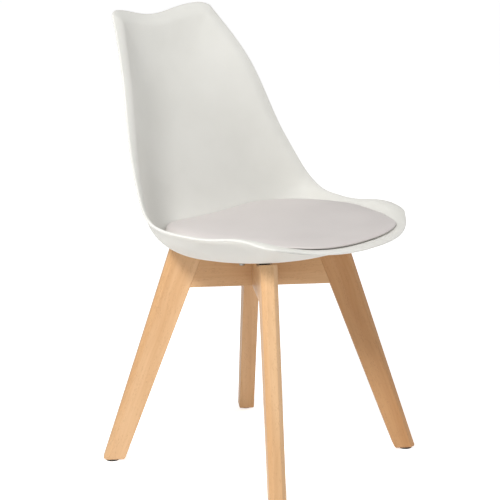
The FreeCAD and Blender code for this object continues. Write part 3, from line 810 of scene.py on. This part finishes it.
# inner face of the bucket: a middle line in the YZ plane with a section raised across it
class ShellForm:
    def __init__(self):
        self.length = shell["rampLength"] + shell["bendLength"] + shell["backLength"]
        self.halfWidth = smoothThrough(shell["rimStations"], shell["halfWidths"])
        self.rise = smoothThrough(shell["rimStations"], shell["rises"])
        self.power = smoothThrough(shell["sectionStations"], shell["sectionPowers"])
        step = shell["runStep"]
        self.along = np.arange(-shell["runBefore"], self.length + shell["runAfter"], step)
        turns = self.heading((self.along[1:] + self.along[:-1]) / 2)
        self.y = np.concatenate([[0], np.cumsum(np.cos(turns) * step)])
        self.z = np.concatenate([[0], np.cumsum(np.sin(turns) * step)])
        self.y -= np.interp(0, self.along, self.y) + shell["front"]
        self.z += self.pan() - self.z.min()

    def pan(self):
        return spacerTop + shell["lift"] + shell["wall"]

    def heading(self, along):
        ramp = np.clip(1 - along / shell["rampLength"], 0, None)
        turn = np.clip((along - shell["rampLength"]) / shell["bendLength"], 0, 1)
        past = np.clip(along - shell["rampLength"] - shell["bendLength"], 0, None)
        degrees = -shell["rampAngle"] * ramp + shell["backAngle"] * turn * turn * (3 - 2 * turn)
        return np.radians(degrees + shell["backCurl"] * past / shell["backLength"])

    def topEdge(self, share):
        peak = shell["hornPlace"]
        rising = shell["hornHeight"] * (1 - np.cos(np.pi * share / peak)) / 2
        beyond = np.clip((share - peak) / (1 - peak), 0, 1)
        falling = shell["hornHeight"] - shell["hornFall"] * beyond ** 3
        return self.length + np.where(share < peak, rising, falling)

    def points(self, u, v, swell):
        share = np.abs(u)
        front = shell["frontBow"] * share ** shell["frontBowPower"]
        along = (1 - v) * front + v * self.topEdge(share)
        cut = shell["cornerCut"] * np.exp(-v * self.length / shell["cornerFade"])
        halfWidth = self.halfWidth(v) - cut
        height = self.rise(v) * share ** self.power(v) + swell
        y = np.interp(along, self.along, self.y)
        z = np.interp(along, self.along, self.z)
        turn = self.heading(along)
        return np.stack([u * halfWidth, y - height * np.sin(turn), z + height * np.cos(turn)], -1)


shellForm = ShellForm()


# places from the middle to the ends, closer together towards the ends, from -1 to 1
def crowded(steps):
    share = np.linspace(0, 1, steps + 1)
    half = 1 - (1 - share) ** shell["crowding"]
    return np.concatenate([-half[:0:-1], half])


def rimDistance(points, outline):
    tree = KDTree(len(outline))
    for i, place in enumerate(outline):
        tree.insert(place, i)
    tree.balance()
    return np.array([tree.find(place)[2] for place in points])


# grid indices round the outline, in order
def ringOf(columns, rows):
    front = [i * rows for i in range(columns)]
    right = [(columns - 1) * rows + j for j in range(1, rows)]
    back = [i * rows + rows - 1 for i in range(columns - 2, -1, -1)]
    left = [j for j in range(rows - 2, 0, -1)]
    return front + right + back + left


# inner face with its rolled lip, as a grid of points with their normals
def shellGrid(columns, rows):
    u = crowded(shell["across"])
    v = (crowded(shell["along"]) + 1) / 2
    gridU, gridV = np.meshgrid(u, v, indexing="ij")
    body = shellForm.points(gridU, gridV, -shell["rimDrop"]).reshape(-1, 3)
    ring = ringOf(columns, rows)
    rim = body[ring]
    shares = np.arange(shell["rimSplits"]) / shell["rimSplits"]
    dense = np.concatenate([rim + (np.roll(rim, -1, 0) - rim) * share for share in shares])
    far = rimDistance(body, dense)
    swell = (shell["lipDrop"] - shell["rimDrop"]) * np.exp(-(far / shell["lipShoulder"]) ** 2)
    roll = shell["lipDrop"] * np.clip(1 - far / shell["lipWidth"], 0, 1) ** shell["lipPower"]
    lifted = (swell - roll).reshape(gridU.shape)
    return shellForm.points(gridU, gridV, lifted).reshape(-1, 3), ring


def gridFaces(columns, rows):
    faces = []
    for i in range(columns - 1):
        for j in range(rows - 1):
            a = i * rows + j
            faces.append((a, a + rows, a + rows + 1, a + 1))
    return faces


# vertex normals, evened out at the corners, where the grid's cells are thin slivers
def gridNormals(points, columns, rows):
    grid = points.reshape(columns, rows, 3)
    raw = np.cross(np.gradient(grid, axis=0), np.gradient(grid, axis=1))
    blur = shell["cornerBlur"]
    padded = np.pad(raw, ((blur, blur), (blur, blur), (0, 0)), mode="edge")
    even = np.zeros_like(raw)
    for i in range(2 * blur + 1):
        for j in range(2 * blur + 1):
            even += padded[i:i + columns, j:j + rows]
    raw /= np.linalg.norm(raw, axis=2)[:, :, None]
    even /= np.linalg.norm(even, axis=2)[:, :, None]
    fromSide = np.minimum(np.arange(columns), np.arange(columns)[::-1])[:, None]
    fromEnd = np.minimum(np.arange(rows), np.arange(rows)[::-1])[None, :]
    share = np.clip(1 - np.hypot(fromSide, fromEnd) / shell["cornerCells"], 0, 1) ** 0.5
    normals = raw * (1 - share[:, :, None]) + even * share[:, :, None]
    normals /= np.linalg.norm(normals, axis=2)[:, :, None]
    return normals.reshape(-1, 3)


def makeShell():
    columns = 2 * shell["across"] + 1
    rows = 2 * shell["along"] + 1
    inner, ring = shellGrid(columns, rows)
    faces = gridFaces(columns, rows)
    normals = gridNormals(inner, columns, rows)
    wall = shell["wall"]
    outer = inner - normals * wall
    count = len(inner)
    points = [*inner, *outer]
    allFaces = list(faces) + [tuple(count + k for k in reversed(face)) for face in faces]
    rim = inner[ring]
    rimNormals = normals[ring]
    tangent = np.roll(rim, -2, 0) - np.roll(rim, 2, 0)
    outward = np.cross(tangent, rimNormals)
    outward /= np.linalg.norm(outward, axis=1)[:, None]
    middle = rim - rimNormals * wall / 2
    previous = list(ring)
    for step in range(1, shell["rimSteps"]):
        turn = math.pi * step / shell["rimSteps"]
        places = middle + (rimNormals * math.cos(turn) + outward * math.sin(turn)) * wall / 2
        start = len(points)
        points += list(places)
        current = [start + k for k in range(len(ring))]
        for k in range(len(ring)):
            n = (k + 1) % len(ring)
            allFaces.append((previous[k], current[k], current[n], previous[n]))
        previous = current
    last = [count + k for k in ring]
    for k in range(len(ring)):
        n = (k + 1) % len(ring)
        allFaces.append((previous[k], last[k], last[n], previous[n]))
    piece = makePiece("seat_shell_moulding", points, allFaces, shellFinish, "shell_plastic", "seat_shell")
    if signedVolume(piece.data) < 0:
        piece.data.flip_normals()
    seatTop = shellForm.pan() + shell["seatHeight"]
    seatFaces = [face for face in faces if inner[face[0]][2] < seatTop]
    return piece, BVHTree.FromPolygons([tuple(p) for p in inner], seatFaces)


shellPiece, shellSurface = makeShell()


# height of the shell's inner face at a place, or None outside it
def shellBelow(x, y):
    hit = shellSurface.ray_cast(Vector((x, y, shell["above"])), Vector((0, 0, -1)))
    return hit[0].z if hit[0] is not None else None


# bosses and ribs under the seat, in metres
under = {
    "bossRadius": 0.014,
    "spacerRadius": 0.0095,
    "edge": 0.0012,
    "steps": 40,
    "ribWidth": 0.0022,
    "ribLength": 0.030,
    "ribStart": 0.9,             # share of the boss's radius where its ribs start
    "ribAbove": 0.001,           # ribs' lower edge above the boss's face
    "ribEnd": 0.0035,
}


# height of the middle of the shell's wall over a place
def wallMiddle(x, y):
    return shellBelow(x, y) - shell["wall"] / 2


# a turned, capped solid from (radius, height) pairs, where no height means up to the shell
def addRing(points, faces, centre, radii):
    start = len(points)
    count = under["steps"]
    for radius, height in radii:
        for k in range(count):
            turn = 2 * math.pi * k / count
            x = centre[0] + radius * math.cos(turn)
            y = centre[1] + radius * math.sin(turn)
            points.append((x, y, wallMiddle(x, y) if height is None else height))
    for level in range(len(radii) - 1):
        low = start + level * count
        for k in range(count):
            n = (k + 1) % count
            faces.append((low + k, low + n, low + count + n, low + count + k))
    faces.append(tuple(start + k for k in reversed(range(count))))
    last = start + (len(radii) - 1) * count
    faces.append(tuple(last + k for k in range(count)))


# an upright rib between two places, tapering up to the shell at its far end
def addRib(points, faces, start, end, low):
    along = Vector((end[0] - start[0], end[1] - start[1]))
    across = Vector((-along.y, along.x)).normalized() * under["ribWidth"] / 2
    first = len(points)
    for place, bottom in ((start, low), (end, wallMiddle(*end) - under["ribEnd"])):
        for side in (1, -1):
            x = place[0] + side * across.x
            y = place[1] + side * across.y
            points.append((x, y, bottom))
            points.append((x, y, wallMiddle(x, y)))
    a, b, c, d, e, f, g, h = range(first, first + 8)
    faces.extend([(a, c, g, e), (b, f, h, d), (a, b, d, c), (e, g, h, f), (a, e, f, b), (c, d, h, g)])


# mounting bosses with their ribs, under the seat
def makeUnderside():
    points = []
    faces = []
    face = spacerTop
    reach = spacerSide - under["spacerRadius"]
    edge = under["edge"]
    radius = under["bossRadius"]
    ribStart = radius * under["ribStart"]
    for sideX in (-1, 1):
        for sideY in (-1, 1):
            centre = (sideX * reach, sideY * reach)
            addRing(points, faces, centre, [(radius - edge, face), (radius, face + edge), (radius, None)])
            for turn in range(4):
                angle = math.pi / 4 + turn * math.pi / 2
                start = (centre[0] + ribStart * math.cos(angle), centre[1] + ribStart * math.sin(angle))
                end = (start[0] + under["ribLength"] * math.cos(angle),
                       start[1] + under["ribLength"] * math.sin(angle))
                addRib(points, faces, start, end, face + under["ribAbove"])
    makePiece("shell_bosses", points, faces, shellFinish, "shell_plastic", "seat_shell")


makeUnderside()
print("shell done:", len(shellPiece.data.polygons), "faces")


# the upholstered pad, in metres
pad = {
    "top": 0.4520,               # height of the middle above the floor, before it swells
    "sideLift": 0.0095,          # sides above the middle
    "backLift": 0.002,
    "frontLift": 0.001,
    "edgeRound": 0.016,
    "edgeShare": 0.6,            # how much of its thickness the pad loses at its outline
    "edgeDepth": 0.0040,         # least thickness at the outline
    "floorGap": 0.0015,
    "power": 2.6,                # how square the outline is
    "middle": -0.070,            # widest place
    "rear": 0.140,               # furthest the outline can go back before the shell stops it
    "searchSteps": 24,           # steps of the search for where the shell stops the pad
    "evenPasses": 3,             # passes that even the outline out
    "spokes": 160,
    "rings": 34,
    "ringCrowding": 1.5,         # how much closer the rings lie towards the outline
    "rimThickness": 0.004,       # thickness where the outline overhangs the shell
    "leastThickness": 0.002,
    "pressure": 4.0,
    "clothQuality": 5,
    "clothMass": 0.3,
    "clothStretch": 15,
    "clothBending": 0.5,
    "clothFrames": 20,
    "heldNear": 0.006,           # cloth this close to the shell stays put
    "heldLow": 0.004,
    "swellCap": 0.0035,
    "smoothing": 6,
    "clearance": 0.0008,
    "proud": 0.005,              # the soft edge reaches this far past the frame's plain pad
}
padLow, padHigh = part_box("pad_cover")


# height of the pad's top, without its rounded edge
def padSurface(x, y):
    across = x / padHigh.x
    along = (y - pad["middle"]) / (padHigh.y - pad["middle"])
    lift = pad["backLift"] if along > 0 else pad["frontLift"]
    return pad["top"] + pad["sideLift"] * across ** 2 + lift * along ** 2


# distance from the pad's middle to its outline in a direction
def padReach(turn):
    x = math.cos(turn)
    y = math.sin(turn)
    halfWidth = padHigh.x + pad["proud"]
    ahead = pad["middle"] - padLow.y
    behind = pad["rear"] - pad["middle"]
    deep = behind if y > 0 else ahead
    swell = (abs(x) ** pad["power"] + abs(y) ** pad["power"]) ** (-1 / pad["power"])
    limit = math.hypot(halfWidth * x * swell, deep * y * swell)
    aim = Vector((halfWidth * x, deep * y)).normalized()
    low = 0.0
    high = limit
    for _ in range(pad["searchSteps"]):
        trial = (low + high) / 2
        place = (aim.x * trial, pad["middle"] + aim.y * trial)
        floor = shellBelow(*place)
        if floor is not None and padSurface(*place) - floor > pad["edgeDepth"] + pad["floorGap"]:
            low = trial
        else:
            high = trial
    return aim, low


def edgeFall(share, reach, thickness):
    edge = (1 - share) * reach
    fall = 0.0
    if edge < pad["edgeRound"]:
        t = 1 - edge / pad["edgeRound"]
        fall = pad["edgeRound"] * (1 - math.sqrt(max(0.0, 1 - t * t)))
    return fall / pad["edgeRound"] * pad["edgeShare"] * thickness


def makePadBlank():
    spokes = [padReach(2 * math.pi * k / pad["spokes"]) for k in range(pad["spokes"])]
    reaches = np.array([reach for _, reach in spokes])
    for _ in range(pad["evenPasses"]):
        reaches = (np.roll(reaches, 1) + 2 * reaches + np.roll(reaches, -1)) / 4
    rings = []
    for ring in range(1, pad["rings"] + 1):
        share = 1 - (1 - ring / pad["rings"]) ** pad["ringCrowding"]
        loop = []
        for (aim, _), reach in zip(spokes, reaches):
            x = aim.x * reach * share
            y = pad["middle"] + aim.y * reach * share
            floor = shellBelow(x, y)
            thickness = padSurface(x, y) - floor if floor is not None else 0
            loop.append((x, y, padSurface(x, y) - edgeFall(share, reach, thickness)))
        rings.append(loop)
    bottoms = []
    for loop in rings:
        low = []
        for x, y, top in loop:
            floor = shellBelow(x, y)
            floor = top - pad["rimThickness"] if floor is None else floor + pad["floorGap"]
            low.append((x, y, min(floor, top - pad["leastThickness"])))
        bottoms.append(low)
    points = [(0.0, pad["middle"], pad["top"])]
    for loop in rings:
        points += loop
    lowStart = len(points)
    for loop in bottoms:
        points += loop
    points.append((0.0, pad["middle"], shellBelow(0.0, pad["middle"]) + pad["floorGap"]))
    count = pad["spokes"]
    faces = []
    for k in range(count):
        n = (k + 1) % count
        faces.append((0, 1 + k, 1 + n))
        faces.append((len(points) - 1, lowStart + n, lowStart + k))
        for ring in range(pad["rings"] - 1):
            a = 1 + ring * count
            b = a + count
            faces.append((a + k, b + k, b + n, a + n))
            a = lowStart + ring * count
            b = a + count
            faces.append((a + k, a + n, b + n, b + k))
        a = 1 + (pad["rings"] - 1) * count
        b = lowStart + (pad["rings"] - 1) * count
        faces.append((a + k, b + k, b + n, a + n))
    return points, faces


# swells the blank as stretched cloth over foam, and keeps the result
def puffUp(piece):
    start = np.array([v.co for v in piece.data.vertices])
    low = start[:, 2].min()
    held = piece.vertex_groups.new(name="held")
    for vertex in piece.data.vertices:
        floor = shellBelow(vertex.co.x, vertex.co.y)
        near = floor is not None and vertex.co.z - floor < pad["heldNear"]
        if near or vertex.co.z < low + pad["heldLow"]:
            held.add([vertex.index], 1.0, "REPLACE")
    cloth = piece.modifiers.new("cover", "CLOTH")
    cloth.settings.quality = pad["clothQuality"]
    cloth.settings.mass = pad["clothMass"]
    cloth.settings.tension_stiffness = pad["clothStretch"]
    cloth.settings.compression_stiffness = pad["clothStretch"]
    cloth.settings.bending_stiffness = pad["clothBending"]
    cloth.settings.use_pressure = True
    cloth.settings.uniform_pressure_force = pad["pressure"]
    cloth.settings.vertex_group_mass = "held"
    cloth.settings.effector_weights.gravity = 0
    scene.frame_start = 1
    scene.frame_end = pad["clothFrames"]
    for step in range(1, pad["clothFrames"] + 1):
        scene.frame_set(step)
    settle(piece)
    scene.frame_set(1)
    piece.vertex_groups.clear()
    now = np.array([v.co for v in piece.data.vertices])
    moved = now - start
    far = np.linalg.norm(moved, axis=1)
    keep = np.minimum(1, pad["swellCap"] / np.maximum(far, 1e-9))
    now = start + moved * keep[:, None]
    piece.data.vertices.foreach_set("co", now.astype(np.float32).ravel())
    piece.data.update()


def clearOfShell(piece):
    for vertex in piece.data.vertices:
        near, normal, _, _ = shellSurface.find_nearest(vertex.co)
        if near is None:
            continue
        side = (vertex.co - near).dot(normal)
        if side < pad["clearance"]:
            vertex.co = vertex.co + normal * (pad["clearance"] - side)
    piece.data.update()


def makePad():
    points, faces = makePadBlank()
    piece = makePiece("seat_pad_cover", points, faces, padFinish, "pad_leather",
                      "pad_cover", "pad_foam", "pad_board")
    if signedVolume(piece.data) < 0:
        piece.data.flip_normals()
    puffUp(piece)
    smooth = piece.modifiers.new("even", "CORRECTIVE_SMOOTH")
    smooth.iterations = pad["smoothing"]
    smooth.use_only_smooth = True
    subdivision = piece.modifiers.new("finer", "SUBSURF")
    subdivision.levels = 1
    subdivision.render_levels = 1
    settle(piece)
    clearOfShell(piece)
    piece.data.shade_smooth()
    return piece


padPiece = makePad()
print("pad done:", len(padPiece.data.polygons), "faces")


# pieces that keep the frame's shape and get a finish
carried = {
    "leg_dowels": dowelFinish,
    "frame_bolts": zincFinish,
    "spring_washers": zincFinish,
    "flat_washers": zincFinish,
    "pad_screws": zincFinish,
    "tee_nuts": zincFinish,
    "glide_nails": zincFinish,
    "shell_inserts": brassFinish,
    "mount_spacers": blackFinish,
    "glide_rear_left": blackFinish,
    "glide_rear_right": blackFinish,
    "glide_front_right": blackFinish,
    "glide_front_left": blackFinish,
}
for nodeName, material in carried.items():
    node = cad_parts[nodeName]
    node.data.materials.clear()
    node.data.materials.append(material)
